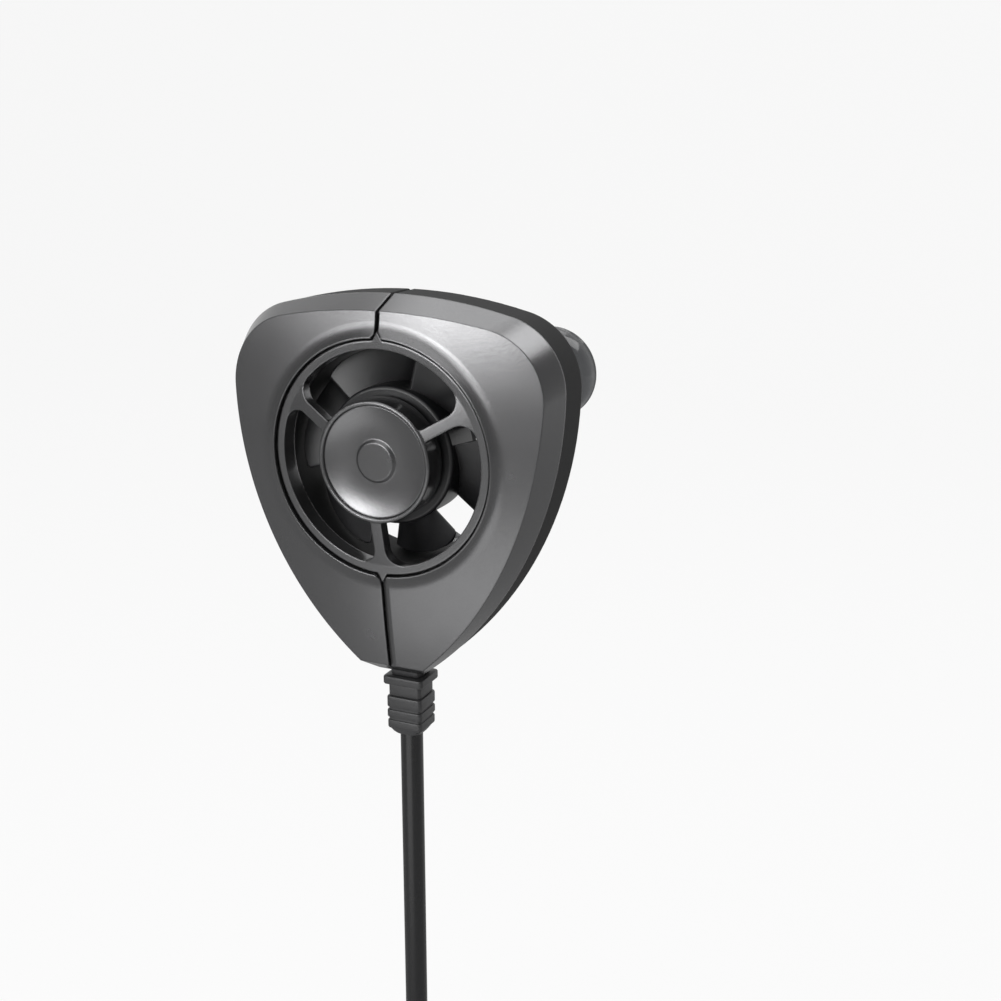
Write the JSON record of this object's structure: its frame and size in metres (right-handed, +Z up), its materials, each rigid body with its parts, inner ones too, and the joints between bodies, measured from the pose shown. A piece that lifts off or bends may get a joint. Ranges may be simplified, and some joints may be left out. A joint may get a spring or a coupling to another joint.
{
  "type": "phone cooling fan",
  "caption": "Cooling fan with a rounded heart-shaped body, held to a flat back by suction cups, with a ring guard over a spinning impeller and a coiled cord with a plug.",
  "frame": {"origin": "on the fan's axis, in the plane of the suction cup rims", "axes": "+Z up, +X to the right of someone who faces the guard, which looks along -Y; the cups hold to a surface at y = 0 and air is blown along +Y"},
  "size_m": [0.069, 0.0238, 0.2465],
  "materials": {
    "cover_grey": "satin metallic",
    "black_shell": "fine matt grain",
    "impeller_grey": "smooth",
    "steel": "plain",
    "ferrite": "matt",
    "bronze": "sintered",
    "white_nylon": "matt",
    "copper": "enamelled wire",
    "board_green": "solder resist",
    "chip_black": "matt",
    "wire_red": "smooth",
    "cup_smoke": "clear smoked",
    "black_rubber": "satin",
    "black_grip": "satin",
    "nickel": "bright",
    "tongue_white": "smooth",
    "gold": "plated"
  },
  "bodies": {
    "housing": {"left_front_cover": "cover_grey", "right_front_cover": "cover_grey", "fan_guard": "cover_grey", "hub_cap": "cover_grey", "rear_housing": "black_shell", "sleeve_bearing": "bronze", "thrust_pad": "white_nylon", "stator_core": "steel", "stator_coils": "copper", "driver_board": "board_green", "board_parts": "chip_black", "lead_wires": "wire_red", "cover_screws": "steel", "suction_cup_left": "cup_smoke", "suction_cup_right": "cup_smoke", "suction_cup_bottom": "cup_smoke", "strain_relief": "black_rubber", "cord": "black_rubber", "cord_coil": "black_rubber", "cord_tail": "black_rubber", "cord_tie": "black_rubber", "plug_grip": "black_grip", "plug_shell": "nickel", "plug_tongue": "tongue_white", "plug_contacts": "gold"},
    "impeller": {"rotor": "impeller_grey", "rotor_yoke": "steel", "magnet_ring": "ferrite", "shaft": "steel", "retaining_clip": "steel"}
  },
  "joints": [
    {"name": "rotor_spin", "type": "hinge", "parent": "housing", "child": "impeller", "pos_m": [0, -0.014, 0], "axis": [0, -1, 0], "continuous": true}
  ]
}
